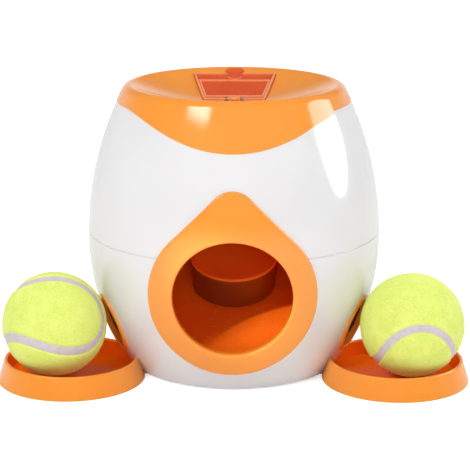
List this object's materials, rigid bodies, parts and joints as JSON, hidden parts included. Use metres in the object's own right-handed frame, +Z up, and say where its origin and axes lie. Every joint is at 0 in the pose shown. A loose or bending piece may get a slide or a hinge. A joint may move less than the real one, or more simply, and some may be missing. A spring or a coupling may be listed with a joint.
{
  "type": "pet ball toy and treat dispenser",
  "caption": "Barrel-shaped fetch toy for dogs: a ball in the front mouth strikes a drum, which doses treats from a top hopper to side trays that also hold the balls.",
  "frame": {"origin": "on the ground, on the upright axis of the barrel, at the centre of the base", "axes": "+X towards the right tray as seen from the front, +Y towards the back (the mouth faces -Y), +Z up"},
  "size_m": [0.2968, 0.1879, 0.1811],
  "materials": {
    "white_shell": "glossy moulded white",
    "orange_gloss": "glossy moulded orange",
    "orange_inner": "moulded orange, plainer inside",
    "clear_lid": "clear plastic with a reddish tint",
    "steel": "bright drawn steel",
    "brass_bush": "turned",
    "white_acetal": "moulded natural acetal",
    "white_matte": "fine spark texture",
    "foot_rubber": "matt",
    "ball_rubber": "matt",
    "ball_felt": "fluorescent yellow-green felt with a pale grey seam"
  },
  "bodies": {
    "housing": {"lower_shell": "white_shell", "upper_shell": "white_shell", "top_cap": "orange_gloss", "front_bezel": "orange_gloss", "left_outlet_bezel": "orange_gloss", "right_outlet_bezel": "orange_gloss", "left_tray": "orange_gloss", "right_tray": "orange_gloss", "lid_hinge_pin": "steel", "hopper_bin": "orange_inner", "rotor_chest": "orange_inner", "axle_bushes": "brass_bush", "return_spring": "steel", "treat_splitter": "orange_inner", "left_chute": "orange_inner", "right_chute": "orange_inner", "ball_deck": "orange_inner", "chamber_roof": "orange_inner", "chamber_back": "orange_inner", "slide_channel": "white_acetal", "base_plate": "white_matte", "base_screws": "steel", "rubber_feet": "foot_rubber"},
    "drum": {"strike_drum": "orange_gloss", "slider_rack": "white_acetal"},
    "rotor": {"dosing_rotor": "white_acetal", "rotor_axle": "steel", "rotor_pinion": "white_acetal"},
    "lid": {"hopper_lid": "clear_lid"},
    "left_ball": {"left_ball_core": "ball_rubber", "left_ball_felt": "ball_felt"},
    "right_ball": {"right_ball_core": "ball_rubber", "right_ball_felt": "ball_felt"}
  },
  "joints": [
    {"name": "drum_slide", "type": "slide", "parent": "housing", "child": "drum", "axis": [0, 0.9311, 0.3649], "range_m": [0, 0.014], "stiffness_N_per_m": 60, "springref_m": -0.01},
    {"name": "rotor_turn", "type": "hinge", "parent": "housing", "child": "rotor", "pos_m": [0, 0.06462, 0.06935], "axis": [1, 0, 0], "range_deg": [0, 148.6]},
    {"name": "lid_hinge", "type": "hinge", "parent": "housing", "child": "lid", "pos_m": [0, 0.01067, 0.16887], "axis": [1, 0, 0], "range_deg": [0, 105]},
    {"name": "left_ball_lift", "type": "slide", "parent": "housing", "child": "left_ball", "axis": [-0.456, -0.2046, 0.8662], "range_m": [0, 0.08]},
    {"name": "right_ball_lift", "type": "slide", "parent": "housing", "child": "right_ball", "axis": [0.456, -0.2046, 0.8662], "range_m": [0, 0.08]}
  ],
  "couplings": [
    {"joint": "rotor_turn", "follows": "drum_slide", "rad_per_m": 185.19}
  ]
}
